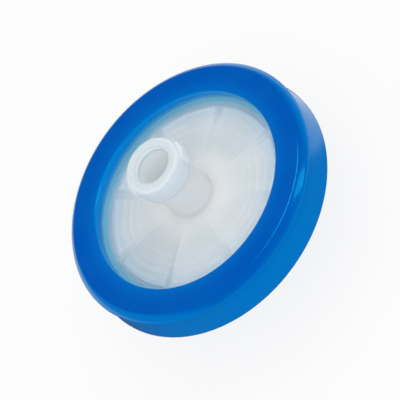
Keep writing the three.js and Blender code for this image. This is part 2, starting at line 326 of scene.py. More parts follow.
class Turning:
    """Closed surface made of rows that run round the axis, one for each point of an outline."""

    def __init__(self, count: int) -> None:
        """Starts an empty surface.

        Args:
            count: Points in each row.
        """
        self.count = count
        self.rows: list[np.ndarray] = []

    def add(self, radii: np.ndarray, heights: np.ndarray, azimuths: np.ndarray) -> None:
        """Adds a row.

        Args:
            radii: Distance of each point from the axis.
            heights: Level of each point.
            azimuths: Angle of each point round the axis.
        """
        self.rows.append(np.column_stack([radii * np.cos(azimuths), radii * np.sin(azimuths), heights]))

    def mesh(self, name: str) -> bpy.types.Mesh:
        """Joins the rows to a closed mesh. A row that lies on the axis becomes one point.

        Args:
            name: Name of the mesh.

        Returns:
            The new mesh, with smooth faces that point out.
        """
        points: list[np.ndarray] = []
        numbers: list[np.ndarray] = []
        for row in self.rows:
            first = len(points)
            if np.hypot(row[:, 0], row[:, 1]).max() < ON_AXIS:
                points.append(row[0])
                numbers.append(np.full(self.count, first))
            else:
                points.extend(row)
                numbers.append(np.arange(first, first + self.count))
        faces = []
        for low, high in zip(numbers, numbers[1:] + numbers[:1]):
            if low[0] == low[1] and high[0] == high[1]:
                continue
            ring = zip(low, np.roll(low, -1), np.roll(high, -1), high)
            faces.extend([list(dict.fromkeys(int(n) for n in quad)) for quad in ring])
        mesh = bpy.data.meshes.new(name)
        mesh.from_pydata([tuple(p) for p in points], [], faces)
        mesh.validate()
        mesh.polygons.foreach_set("use_smooth", [True] * len(mesh.polygons))
        mesh.update()
        return mesh


def evenly(count: int, start: float = 0.0) -> np.ndarray:
    """Azimuths spread evenly round the axis."""
    return start + np.arange(count) * 2 * math.pi / count


def turned(outline: Outline, count: int, name: str) -> bpy.types.Mesh:
    """Turns a plain outline round the axis.

    Args:
        outline: The outline.
        count: Points in each row.
        name: Name of the mesh.

    Returns:
        The closed mesh.
    """
    surface = Turning(count)
    azimuths = evenly(count)
    for radius, height in outline.points()[0]:
        surface.add(np.full(count, radius), np.full(count, height), azimuths)
    return surface.mesh(name)


class SectorGrid:
    """Azimuths that follow the radial channels of one face and the radial grooves of the other.

    Each of the eight periods has as many points. Some stay on a channel's floor, some on its walls,
    and the others share out the sector between two channels. Grooves lie half a period from the channels.
    """

    PER_PERIOD = 36
    FLOOR = 3
    WALL = 6
    EASE = 0.5  # how far a wall's rounding reaches into the floor, in points
    WALL_WIDTH = 0.28 * MM
    MOST_SINE = 0.3  # of the angle that half a floor takes

    def __init__(self) -> None:
        """Numbers the points of a period from one sector's middle to the next."""
        half = self.PER_PERIOD // 2
        self.offset = np.tile(np.arange(-half, half), CHANNEL_COUNT)
        self.period = np.repeat(np.arange(CHANNEL_COUNT), self.PER_PERIOD)
        self.count = self.PER_PERIOD * CHANNEL_COUNT
        self.half = half

    def _warp(self, distance: np.ndarray, radius: float, width: float) -> np.ndarray:
        """Angle from the middle of a slot for points numbered from it.

        Args:
            distance: Number of each point from the slot's middle, from 0 to half a period.
            radius: Distance from the axis.
            width: Width of the slot there.

        Returns:
            The angle of each point from the slot's middle.
        """
        floor = math.asin(min(0.5 * width / radius, self.MOST_SINE))
        wall = floor + self.WALL_WIDTH / radius
        return np.interp(distance, [0, self.FLOOR, self.WALL, self.half], [0, floor, wall, PERIOD / 2])

    def azimuths(
        self, radius: float, channel: Optional[float] = None, groove: Optional[float] = None
    ) -> np.ndarray:
        """Azimuths of one row.

        Args:
            radius: Distance from the axis at which the widths hold.
            channel: Width of the channels there, if the row crosses them.
            groove: Width of the grooves there, if the row crosses them.

        Returns:
            The angle of each point round the axis.
        """
        turn = self.offset * PERIOD / self.PER_PERIOD
        if channel is not None:
            turn = np.sign(self.offset) * self._warp(np.abs(self.offset), radius, channel)
        elif groove is not None:
            from_groove = self.half - np.abs(self.offset)
            sign = np.where(self.offset < 0, -1.0, 1.0)
            turn = sign * (PERIOD / 2 - self._warp(from_groove, radius, groove))
        return CHANNEL_START + self.period * PERIOD + turn

    def channel_mask(self) -> np.ndarray:
        """1 on the sectors, 0 on the channels' floors."""
        return smooth_step(np.abs(self.offset), self.FLOOR - self.EASE, self.WALL)

    def groove_mask(self) -> np.ndarray:
        """1 in the grooves, 0 elsewhere."""
        return 1.0 - smooth_step(self.half - np.abs(self.offset), self.FLOOR - self.EASE, self.WALL)

    def from_sector_middle(self, azimuths: np.ndarray) -> np.ndarray:
        """Angle of each point from the middle of its sector."""
        turn = (azimuths - CHANNEL_START) % PERIOD
        return turn - PERIOD / 2


# ---------------------------------------------------------------------------------------------------------
# Shader node groups
# ---------------------------------------------------------------------------------------------------------


class Nodes:
    """Short calls that add and join nodes in one tree."""

    def __init__(self, tree: bpy.types.NodeTree) -> None:
        """Works on the node tree of a material, a world or a group."""
        self.tree = tree

    def add(self, kind: str, inputs: Optional[dict] = None, **settings: object) -> bpy.types.Node:
        """Adds a node.

        Args:
            kind: Blender's name of the node type.
            inputs: Value or source socket for each named or numbered input.
            **settings: Properties of the node.

        Returns:
            The new node.
        """
        node = self.tree.nodes.new(kind)
        for key, value in settings.items():
            setattr(node, key, value)
        for key, value in (inputs or {}).items():
            self.feed(value, node.inputs[key])
        return node

    def feed(self, value: object, socket: Wire) -> None:
        """Joins a source socket to an input, or sets the input's value.

        Args:
            value: The source socket or the plain value.
            socket: The input.
        """
        if isinstance(value, bpy.types.NodeSocket):
            self.tree.links.new(value, socket)
        else:
            socket.default_value = value

    def place(self) -> Wire:
        """Gives the place on the object, in metres from its origin."""
        return self.add("ShaderNodeTexCoord").outputs["Object"]

    def axes(self, vector: Wire) -> list[Wire]:
        """Gives the x, y and z of a vector."""
        parts = self.add("ShaderNodeSeparateXYZ", {"Vector": vector})
        return [parts.outputs[axis] for axis in "XYZ"]

    def maths(self, operation: str, *values: object) -> Wire:
        """Adds a Math node and gives its result."""
        return self.add("ShaderNodeMath", dict(enumerate(values)), operation=operation).outputs[0]

    def spread(self, value: object, span: Span, to: Span = (0.0, 1.0)) -> Wire:
        """Maps one span of values smoothly to another, and stays level beyond it.

        Args:
            value: The value.
            span: Values at which the change starts and ends.
            to: Results at these two values.

        Returns:
            The result.
        """
        inputs = {"Value": value, "From Min": span[0], "From Max": span[1], "To Min": to[0], "To Max": to[1]}
        node = self.add("ShaderNodeMapRange", inputs, interpolation_type="SMOOTHSTEP")
        return node.outputs["Result"]

    def ramp(self, value: object, stops: list[tuple[float, Colour]], interpolation: str) -> Wire:
        """Turns a value from 0 to 1 into the colours of a ramp.

        Args:
            value: The value.
            stops: Position and colour of each stop, in rising order.
            interpolation: Blender's name for how the colours between two stops are found.

        Returns:
            The colour.
        """
        node = self.add("ShaderNodeValToRGB", {"Fac": value})
        colours = node.color_ramp
        colours.interpolation = interpolation
        colours.elements.remove(colours.elements[1])
        colours.elements[0].position, colours.elements[0].color = stops[0]
        for position, colour in stops[1:]:
            colours.elements.new(position).color = colour
        return node.outputs["Color"]

    def blend(self, share: object, first: object, second: object, kind: str = "MIX") -> Wire:
        """Mixes two colours.

        Args:
            share: Share of the second colour.
            first: First colour.
            second: Second colour.
            kind: Blender's name for the way they mix.

        Returns:
            The mixed colour.
        """
        node = self.add("ShaderNodeMix", {0: share, 6: first, 7: second}, data_type="RGBA", blend_type=kind)
        return node.outputs[2]


class ShaderGroup:
    """A node group with named numbers as inputs and outputs, built once and shared by the finishes."""

    name = ""
    inputs: dict[str, float] = {}
    outputs: tuple[str, ...] = ()

    def build(self, nodes: Nodes, source: bpy.types.Node) -> dict[str, Wire]:
        """Makes the group's inside.

        Args:
            nodes: The group's tree.
            source: Its input node.

        Returns:
            The socket that feeds each output.
        """
        raise NotImplementedError

    def tree(self) -> bpy.types.NodeTree:
        """Gives the group's tree, made at the first call.

        Returns:
            The tree.
        """
        if self.name in bpy.data.node_groups:
            return bpy.data.node_groups[self.name]
        tree = bpy.data.node_groups.new(self.name, "ShaderNodeTree")
        for label, value in self.inputs.items():
            socket = tree.interface.new_socket(label, in_out="INPUT", socket_type="NodeSocketFloat")
            socket.default_value = value
        for label in self.outputs:
            tree.interface.new_socket(label, in_out="OUTPUT", socket_type="NodeSocketFloat")
        nodes = Nodes(tree)
        results = self.build(nodes, nodes.add("NodeGroupInput"))
        nodes.add("NodeGroupOutput", results)
        return tree

    def put(self, nodes: Nodes, inputs: dict[str, object]) -> bpy.types.Node:
        """Places the group in a material, with a value or a source for each named input."""
        return nodes.add("ShaderNodeGroup", inputs, node_tree=self.tree())


class MouldedSkin(ShaderGroup):
    """The skin of an injection-moulded face: faint flow clouds and a fine grain."""

    name = "moulded_skin"
    inputs = {
        "Cloud size": 2.0 * MM,
        "Grain size": 0.15 * MM,
        "Low roughness": 0.2,
        "High roughness": 0.3,
    }
    outputs = ("Roughness", "Clouds", "Height")
    CLOUD_DETAIL = 3.0
    GRAIN_DETAIL = 2.0
    CLOUD_SPAN = (0.3, 0.7)  # of the noise, over which the roughness changes
    GRAIN_SHARE = 0.25  # of the grain in the height

    def build(self, nodes: Nodes, source: bpy.types.Node) -> dict[str, Wire]:
        """Makes clouds, roughness and height from two noises.

        Args:
            nodes: The group's tree.
            source: Its input node.

        Returns:
            The socket that feeds each output.
        """
        place = nodes.place()
        noises = []
        for size, detail in (("Cloud size", self.CLOUD_DETAIL), ("Grain size", self.GRAIN_DETAIL)):
            scale = nodes.maths("DIVIDE", 1.0, source.outputs[size])
            noise = nodes.add("ShaderNodeTexNoise", {"Vector": place, "Scale": scale, "Detail": detail})
            noises.append(noise.outputs["Fac"])
        clouds, grain = noises
        inputs = {
            "Value": clouds,
            "From Min": self.CLOUD_SPAN[0],
            "From Max": self.CLOUD_SPAN[1],
            "To Min": source.outputs["Low roughness"],
            "To Max": source.outputs["High roughness"],
        }
        roughness = nodes.add("ShaderNodeMapRange", inputs).outputs["Result"]
        height = nodes.maths("MULTIPLY_ADD", grain, self.GRAIN_SHARE, clouds)
        return {"Roughness": roughness, "Clouds": clouds, "Height": height}


class RadialBand(ShaderGroup):
    """A band round the axis between two levels, which sets in along a curve between two radii."""

    name = "radial_band"
    inputs = {
        "Start radius": 10.0 * MM,
        "Full radius": 12.0 * MM,
        "Curve": 1.0,
        "Low level": 0.0,
        "High level": 1.0,
    }
    outputs = ("Mask",)

    def build(self, nodes: Nodes, source: bpy.types.Node) -> dict[str, Wire]:
        """Makes a mask from the distance from the axis and the level.

        Args:
            nodes: The group's tree.
            source: Its input node.

        Returns:
            The socket that feeds the mask.
        """
        x, y, z = nodes.axes(nodes.place())
        squares = nodes.maths("ADD", nodes.maths("MULTIPLY", x, x), nodes.maths("MULTIPLY", y, y))
        inputs = {
            "Value": nodes.maths("SQRT", squares),
            "From Min": source.outputs["Start radius"],
            "From Max": source.outputs["Full radius"],
        }
        rise = nodes.add("ShaderNodeMapRange", inputs).outputs["Result"]
        curve = nodes.maths("POWER", rise, source.outputs["Curve"])
        above = nodes.maths("GREATER_THAN", z, source.outputs["Low level"])
        below = nodes.maths("LESS_THAN", z, source.outputs["High level"])
        return {"Mask": nodes.maths("MULTIPLY", curve, nodes.maths("MULTIPLY", above, below))}

    def mask(self, nodes: Nodes, radii: Span, levels: Span, curve: float = 1.0) -> Wire:
        """Places the group and gives its mask.

        Args:
            nodes: The material's tree.
            radii: Where the band sets in and where it is full; falling for a band that grows inwards.
            levels: Its lowest and highest level.
            curve: Power by which it sets in.

        Returns:
            The mask, from 0 outside the band to 1 where it is full.
        """
        inputs = {
            "Start radius": radii[0],
            "Full radius": radii[1],
            "Curve": curve,
            "Low level": levels[0],
            "High level": levels[1],
        }
        return self.put(nodes, inputs).outputs["Mask"]


MOULDED_SKIN = MouldedSkin()
RADIAL_BAND = RadialBand()


# ---------------------------------------------------------------------------------------------------------
# Finishes
# ---------------------------------------------------------------------------------------------------------


def new_material(name: str) -> tuple[bpy.types.Material, Nodes, bpy.types.Node]:
    """Makes a material with a lone Principled shader.

    Args:
        name: Name of the material.

    Returns:
        The material, its tree, and the shader node.
    """
    material = bpy.data.materials.new(name)
    material.use_nodes = True
    nodes = Nodes(material.node_tree)
    return material, nodes, material.node_tree.nodes["Principled BSDF"]


@dataclass(frozen=True)
class Skin:
    """How the skin of one finish looks.

    Args:
        cloud: Size of the flow clouds.
        grain: Size of the fine grain.
        glossy: Roughness of the glossiest places.
        dull: Roughness of the dullest places.
        waves: Depth of the skin's waves.
    """

    cloud: float
    grain: float
    glossy: float
    dull: float
    waves: float

    def put(self, nodes: Nodes, shader: bpy.types.Node) -> bpy.types.Node:
        """Gives a shader its roughness and bump.

        Args:
            nodes: The material's tree.
            shader: The shader node.

        Returns:
            The node of the skin's group.
        """
        inputs = {
            "Cloud size": self.cloud,
            "Grain size": self.grain,
            "Low roughness": self.glossy,
            "High roughness": self.dull,
        }
        skin = MOULDED_SKIN.put(nodes, inputs)
        bump = nodes.add("ShaderNodeBump", {"Height": skin.outputs["Height"], "Distance": self.waves})
        nodes.feed(skin.outputs["Roughness"], shader.inputs["Roughness"])
        nodes.feed(bump.outputs["Normal"], shader.inputs["Normal"])
        return skin


@dataclass(frozen=True)
class RingPlastic:
    """Glossy opaque polypropylene of the over-moulded ring.

    A span says where a change starts and where it ends. Spans of levels are measured from the front face, and
    spans of radii from the window outwards.

    Args:
        window: Radius of the ring's window.
        front: Level of its front face.
        name: Name of the material.
        face: Colour of the flat faces.
        edge: Colour of the front face beside the window, paler there as a painted sheen.
        wall: Colour of the walls and of the surfaces that face sideways or away, paler as a painted
            reflection of the bright floor and surround.
        well: Colour of the window's wall, which the clear cap lights up.
        lit_edge: Colour at the foot of that wall.
        cloud: Colour of the pigment's flow clouds.
        reflection: Tint of the reflection seen straight on.
        specular: Strength of that reflection.
        ior: Index of refraction.
        skin: How its skin looks.
        cloud_span: Span of the cloud pattern over which the clouds' colour sets in.
        edge_radii: Span of radii over which the edge's colour sets in.
        edge_levels: Levels between which it shows.
        edge_curve: Power by which it sets in.
        upright_span: Span of the steepness over which walls lose their colour to the flat faces.
        side_span: Span of the turn to one side over which the wall's colour sets in.
        side_lean: How much sooner it sets in on the left than on the right.
        away_span: Span of the turn to the back over which it sets in.
        away_share: How much of it shows there.
        well_radii: Span of radii over which the well's colour sets in.
        well_levels: Levels between which it shows.
        lit_levels: Span of levels over which the light at the wall's foot dies out.
        lit_share: How much of that light shows.
    """

    window: float
    front: float
    name: str = "blue_ring_plastic"
    face: Colour = (0.0, 0.1, 0.49, 1.0)
    edge: Colour = (0.0, 0.145, 0.565, 1.0)
    wall: Colour = (0.0, 0.19, 0.61, 1.0)
    well: Colour = (0.0, 0.25, 0.7, 1.0)
    lit_edge: Colour = (0.14, 0.46, 0.78, 1.0)
    cloud: Colour = (0.0, 0.11, 0.505, 1.0)
    reflection: Colour = (0.0, 0.8, 1.0, 1.0)
    specular: float = 0.5
    ior: float = 1.48
    skin: Skin = Skin(cloud=6.0 * MM, grain=0.8 * MM, glossy=0.1, dull=0.16, waves=0.004 * MM)
    cloud_span: Span = (0.4, 0.7)
    edge_radii: Span = (2.0 * MM, 0.2 * MM)
    edge_levels: Span = (-0.3 * MM, 1.0 * MM)
    edge_curve: float = 1.6
    upright_span: Span = (0.3, 0.75)
    side_span: Span = (0.36, 0.68)
    side_lean: float = -0.12
    away_span: Span = (0.2, 0.55)
    away_share: float = 0.65
    well_radii: Span = (0.12 * MM, 0.02 * MM)
    well_levels: Span = (-1.5 * MM, -0.03 * MM)
    lit_levels: Span = (-1.25 * MM, -0.8 * MM)
    lit_share: float = 0.7

    def band(self, nodes: Nodes, radii: Span, levels: Span, curve: float = 1.0) -> Wire:
        """Gives the mask of a band that is measured from the window and the front face."""
        return RADIAL_BAND.mask(nodes, shifted(radii, self.window), shifted(levels, self.front), curve)

    def wall_sheen_mask(self, nodes: Nodes) -> Wire:
        """Finds the walls and the surfaces that face to the side or away, which get the paler colour of a
        painted reflection.

        Args:
            nodes: The material's tree.

        Returns:
            The mask.
        """
        x, y, z = nodes.axes(nodes.add("ShaderNodeNewGeometry").outputs["Normal"])
        upright = nodes.spread(nodes.maths("ABSOLUTE", z), self.upright_span, (1.0, 0.0))
        across = nodes.maths("MULTIPLY_ADD", x, self.side_lean, nodes.maths("ABSOLUTE", x))
        sideways = nodes.spread(across, self.side_span)
        away = nodes.spread(y, self.away_span, (0.0, self.away_share))
        return nodes.maths("MAXIMUM", upright, nodes.maths("MAXIMUM", sideways, away))

    def material(self) -> bpy.types.Material:
        """Makes the material.

        Returns:
            The material.
        """
        material, nodes, shader = new_material(self.name)
        skin = self.skin.put(nodes, shader)
        face = nodes.blend(nodes.spread(skin.outputs["Clouds"], self.cloud_span), self.face, self.cloud)
        # Painted sheen: the front face turns paler towards the window
        edge = self.band(nodes, self.edge_radii, self.edge_levels, self.edge_curve)
        # Painted reflection: walls and surfaces that face sideways or away turn paler
        walls = nodes.blend(self.wall_sheen_mask(nodes), nodes.blend(edge, face, self.edge), self.wall)
        level = nodes.axes(nodes.place())[2]
        lit = nodes.spread(level, shifted(self.lit_levels, self.front), (self.lit_share, 0.0))
        well = self.band(nodes, self.well_radii, self.well_levels)
        colour = nodes.blend(well, walls, nodes.blend(lit, self.well, self.lit_edge))
        nodes.feed(colour, shader.inputs["Base Color"])
        shader.inputs["Specular IOR Level"].default_value = self.specular
        shader.inputs["Specular Tint"].default_value = self.reflection
        shader.inputs["IOR"].default_value = self.ior
        return material


@dataclass(frozen=True)
class MilkyPlastic:
    """Natural, translucent polypropylene of the housings.

    A span of radii says where a change starts and where it ends, measured from the named radius outwards.

    Args:
        name: Name of the material.
        edge: Radius at which the plastic bends up to the ring.
        low: Lowest level at which the ring shines through.
        high: Highest such level.
        hub: Radius of the foot of the thin-walled hub, or 0 for none.
        crown: Level at which the hub grows thick again.
        socket: Radius of the hub's socket.
        rim: Level of the hub's end.
        sector_shades: Painted light and shade of each sector between two channels, from the first channel on.
        body: Colour of the plastic.
        cloud: Colour of its flow clouds.
        thin: Colour of the hub's thin walls and of the face round its foot, painted pale: painted light that
            lifts the shade there.
        collar: Colour of the thick collar at the hub's end, painted darker: painted shade that tempers the
            light falling on its top.
        haze: Colour of the light that the ring throws over the flat part.
        glow: Colour where the ring shines through.
        haze_share: How much of the haze shows at the edge.
        glow_share: How much of the ring's colour shows beyond it.
        scatter: Share of light that spreads inside the plastic.
        depth: How far that light spreads.
        specular: Strength of the reflection seen straight on.
        skin: How its skin looks.
        cloud_span: Span of the cloud pattern over which the clouds' colour sets in.
        face_radii: Span from the hub's foot over which the sectors' painted light and shade set in.
        thin_radii: Span from the hub's foot over which the thin walls' colour sets in.
        thin_curve: Power by which it sets in.
        socket_radii: Span from the socket's wall over which its painted shade and highlight rings set in.
        collar_radii: Span from the socket's wall over which the collar's colour sets in.
        haze_radii: Span from the edge over which the haze sets in.
        haze_curve: Power by which it sets in.
        glow_radii: Span from the edge over which the glow sets in.
    """

    name: str
    edge: float
    low: float
    high: float
    hub: float = 0.0
    crown: float = 0.0
    socket: float = 0.0
    rim: float = 0.0
    sector_shades: tuple[float, ...] = ()
    body: Colour = (0.7, 0.775, 0.82, 1.0)
    cloud: Colour = (0.74, 0.805, 0.84, 1.0)
    thin: Colour = (0.96, 1.0, 1.0, 1.0)
    collar: Colour = (0.61, 0.7, 0.73, 1.0)
    haze: Colour = (0.08, 0.5, 0.85, 1.0)
    glow: Colour = (0.12, 0.52, 0.9, 1.0)
    haze_share: float = 0.3
    glow_share: float = 0.85
    scatter: float = 1.0
    depth: float = 2.5 * MM
    specular: float = 0.16
    skin: Skin = Skin(cloud=3.5 * MM, grain=0.25 * MM, glossy=0.34, dull=0.46, waves=0.003 * MM)
    cloud_span: Span = (0.35, 0.65)
    face_radii: Span = (-0.1 * MM, 0.1 * MM)
    thin_radii: Span = (3.5 * MM, -0.1 * MM)
    thin_curve: float = 1.5
    socket_radii: Span = (0.1 * MM, 0.0)
    collar_radii: Span = (1.3 * MM, 0.8 * MM)
    haze_radii: Span = (-6.0 * MM, 0.3 * MM)
    haze_curve: float = 3.0
    glow_radii: Span = (0.0, 0.45 * MM)

    def painted_sector_ramp(self, nodes: Nodes) -> Wire:
        """Gives the painted light and shade of the sector at each azimuth, in steps that fall on the
        channels.

        Args:
            nodes: The material's tree.

        Returns:
            The tone, as a grey.
        """
        inputs = {"Vector": nodes.place()}
        turn = nodes.add("ShaderNodeTexGradient", inputs, gradient_type="RADIAL").outputs["Fac"]
        first = CHANNEL_START / (2 * math.pi) + 0.5
        starts = [(first + number / CHANNEL_COUNT) % 1.0 for number in range(len(self.sector_shades))]
        steps = sorted(zip(starts, self.sector_shades))
        stops = [(0.0, steps[-1][1])] + steps
        return nodes.ramp(turn, [(position, (tone, tone, tone, 1.0)) for position, tone in stops], "CONSTANT")

    def painted_socket_shading(self, nodes: Nodes) -> Wire:
        """Gives the colour down the socket's wall: rings of painted shade and painted highlight, and the wall
        painted pale against the shade inside the socket.

        Args:
            nodes: The material's tree.

        Returns:
            The colour.
        """
        level = nodes.axes(nodes.place())[2]
        reach = SOCKET_SHADE_AND_HIGHLIGHT[-1][0]
        depth = nodes.maths("MULTIPLY_ADD", level, -1.0 / reach, self.rim / reach)
        return nodes.ramp(depth, [(down / reach, colour) for down, colour in SOCKET_SHADE_AND_HIGHLIGHT], "EASE")

    def plain(self, nodes: Nodes, clouds: Wire) -> Wire:
        """Gives the colour of the plastic before the ring tints it.

        Args:
            nodes: The material's tree.
            clouds: Pattern of the flow clouds.

        Returns:
            The colour: clouded, with painted light and shade from sector to sector, painted light on the hub,
                painted shade on the collar, and painted shade and highlight rings in its socket.
        """
        plain = nodes.blend(nodes.spread(clouds, self.cloud_span), self.body, self.cloud)
        if self.sector_shades:
            # Painted light and shade: one tone for each sector between two channels
            face = RADIAL_BAND.mask(nodes, shifted(self.face_radii, self.hub), (self.low, self.high))
            plain = nodes.blend(face, plain, self.painted_sector_ramp(nodes), "MULTIPLY")
        if self.hub:
            # Painted light: the hub's walls and the face round its foot painted pale, lifting their shade
            thin_radii = shifted(self.thin_radii, self.hub)
            thin = RADIAL_BAND.mask(nodes, thin_radii, (self.low, self.crown), self.thin_curve)
            plain = nodes.blend(thin, plain, self.thin)
            # Painted shade: the collar's end painted darker, tempering the light that falls on its top
            collar_radii = shifted(self.collar_radii, self.socket)
            collar = RADIAL_BAND.mask(nodes, collar_radii, (self.crown, ABOVE_ALL))
            plain = nodes.blend(collar, plain, self.collar)
            # Painted shade and highlight: dark and bright rings down the socket, and its wall painted pale
            # against the shade inside it
            socket_radii = shifted(self.socket_radii, self.socket)
            socket = RADIAL_BAND.mask(nodes, socket_radii, (self.low, ABOVE_ALL))
            plain = nodes.blend(socket, plain, self.painted_socket_shading(nodes))
        return plain

    def material(self) -> bpy.types.Material:
        """Makes the material.

        Returns:
            The material.
        """
        material, nodes, shader = new_material(self.name)
        colour = self.plain(nodes, self.skin.put(nodes, shader).outputs["Clouds"])
        levels = (self.low, self.high)
        haze = RADIAL_BAND.mask(nodes, shifted(self.haze_radii, self.edge), levels, self.haze_curve)
        colour = nodes.blend(nodes.maths("MULTIPLY", haze, self.haze_share), colour, self.haze)
        glow = RADIAL_BAND.mask(nodes, shifted(self.glow_radii, self.edge), levels)
        colour = nodes.blend(nodes.maths("MULTIPLY", glow, self.glow_share), colour, self.glow)
        nodes.feed(colour, shader.inputs["Base Color"])
        shader.inputs["Subsurface Weight"].default_value = self.scatter
        shader.inputs["Subsurface Radius"].default_value = (1.0, 1.0, 1.0)
        shader.inputs["Subsurface Scale"].default_value = self.depth
        shader.inputs["Specular IOR Level"].default_value = self.specular
        return material


@dataclass(frozen=True)
class MembraneFilm:
    """Matt, fibrous white film of the filter membrane.

    Args:
        name: Name of the material.
        light: Colour of the fibres.
        shade: Colour of the pores.
        specular: Strength of the reflection seen straight on.
        skin: How the felted fibres look.
    """

    name: str = "white_membrane_film"
    light: Colour = (0.86, 0.87, 0.87, 1.0)
    shade: Colour = (0.74, 0.76, 0.77, 1.0)
    specular: float = 0.2
    skin: Skin = Skin(cloud=0.72 * MM, grain=0.12 * MM, glossy=0.8, dull=0.95, waves=0.02 * MM)

    def material(self) -> bpy.types.Material:
        """Makes the material.

        Returns:
            The material.
        """
        material, nodes, shader = new_material(self.name)
        skin = self.skin.put(nodes, shader)
        nodes.feed(nodes.blend(skin.outputs["Height"], self.shade, self.light), shader.inputs["Base Color"])
        shader.inputs["Specular IOR Level"].default_value = self.specular
        return material


# ---------------------------------------------------------------------------------------------------------
# Pieces
# ---------------------------------------------------------------------------------------------------------


class Piece:
    """A moulded piece: a fine mesh that stands for one node of the frame."""

    node = ""
    slot = ""

    def mesh(self) -> bpy.types.Mesh:
        """Builds the piece's closed mesh."""
        raise NotImplementedError

    def finish(self) -> bpy.types.Material:
        """Makes the piece's material."""
        raise NotImplementedError

    def build(self) -> bpy.types.Object:
        """Makes the object, dresses it and ties it to the frame.

        Returns:
            The finished object.
        """
        mesh = self.mesh()
        piece = bpy.data.objects.new(f"{self.node}_surface", mesh)
        bpy.context.scene.collection.objects.link(piece)
        mesh.materials.append(self.finish())
        shading = piece.modifiers.new("face_weighted_shading", "WEIGHTED_NORMAL")
        shading.weight = 100
        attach(piece, ROOT_BODY)
        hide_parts(self.node)
        LOG.info("%s: %d faces, stands for %s", piece.name, len(mesh.polygons), self.node)
        return piece


@dataclass
class OuterRing(Piece):
    """The over-moulded ring: a C section round both rims, with a bevelled front bead and a waist behind it.

    Args:
        stack: Levels and radii of the frame.
        lips: How the ring wraps the rims.
        bevel_width: From the bead in to the edge of the front face.
        bevel_drop: From the front face down to the bead.
        bevel_crown: Bulge of the bevel.
        bead_land: Straight height of the bead.
        waist_depth: Step in behind the bead.
        waist_slope: Height of that step.
        rear_chamfer: Chamfer of the rear edge.
        count: Points round the axis.

    The sizes that end in _round are the fillets of the outline.
    """

    node = "outer_ring"
    slot = "blue_ring"

    stack: Stack
    lips: Lips
    bevel_width: float = 0.87 * MM
    bevel_drop: float = 0.87 * MM
    bevel_crown: float = 0.12 * MM
    bead_land: float = 0.2 * MM
    waist_depth: float = 0.3 * MM
    waist_slope: float = 0.15 * MM
    rear_chamfer: float = 0.45 * MM
    lip_round: float = 0.04 * MM
    back_round: float = 0.15 * MM
    rear_round: float = 0.3 * MM
    waist_round: float = 0.12 * MM
    step_round: float = 0.08 * MM
    bead_round: float = 0.45 * MM
    bevel_round: float = 4 * MM
    face_round: float = 0.3 * MM
    window_round: float = 0.22 * MM
    count: int = 288

    def mesh(self) -> bpy.types.Mesh:
        """Turns the C section.

        Returns:
            The closed mesh.
        """
        stack, lips = self.stack, self.lips
        outer, front, back = stack.ring_radius, stack.ring_front, stack.ring_back
        window = lips.window(stack)
        inner = stack.housing_radius + lips.gap
        waist_top = front - self.bevel_drop - self.bead_land
        slant = math.hypot(self.bevel_width, self.bevel_drop)
        crown_radius = outer - self.bevel_width / 2 + self.bevel_crown * self.bevel_drop / slant
        crown_height = front - self.bevel_drop / 2 + self.bevel_crown * self.bevel_width / slant
        outline = Outline(fillet=self.lip_round)
        outline.to(window, back, self.back_round)
        outline.to(outer - self.rear_chamfer, back, self.rear_round)
        outline.to(outer, back + self.rear_chamfer, self.rear_round)
        outline.to(outer - self.waist_depth, waist_top - self.waist_slope, self.waist_round)
        outline.to(outer, waist_top, self.step_round)
        outline.to(outer, waist_top + self.bead_land, self.bead_round)
        outline.to(crown_radius, crown_height, self.bevel_round)
        outline.to(outer - self.bevel_width, front, self.face_round)
        outline.to(window, front, self.window_round)
        outline.to(window, front - lips.front)
        outline.to(inner, front - lips.front)
        outline.to(inner, back + lips.back)
        outline.to(window, back + lips.back)
        return turned(outline, self.count, self.node)

    def finish(self) -> bpy.types.Material:
        """Dresses the ring in its blue plastic."""
        return RingPlastic(window=self.lips.window(self.stack), front=self.stack.ring_front).material()


@dataclass
class Membrane(Piece):
    """The filter membrane: a thin disc clamped between the housings.

    Args:
        stack: Levels and radii of the frame.
        edge_round: Fillet of its edges.
        rings: Rings of faces from the middle to the edge.
        count: Points round the axis.
    """

    node = "membrane"
    slot = "membrane_film"

    stack: Stack
    edge_round: float = 0.02 * MM
    rings: int = 12
    count: int = 192

    def mesh(self) -> bpy.types.Mesh:
        """Turns the disc.

        Returns:
            The closed mesh.
        """
        stack = self.stack
        outline = Outline(fillet=self.edge_round)
        outline.to(0.0, stack.seat, SHARP)
        outline.to(stack.membrane_radius, stack.seat, splits=self.rings)
        outline.to(stack.membrane_radius, stack.joint)
        outline.to(0.0, stack.joint, SHARP, splits=self.rings)
        return turned(outline, self.count, self.node)

    def finish(self) -> bpy.types.Material:
        """Dresses the disc in white film."""
        return MembraneFilm().material()


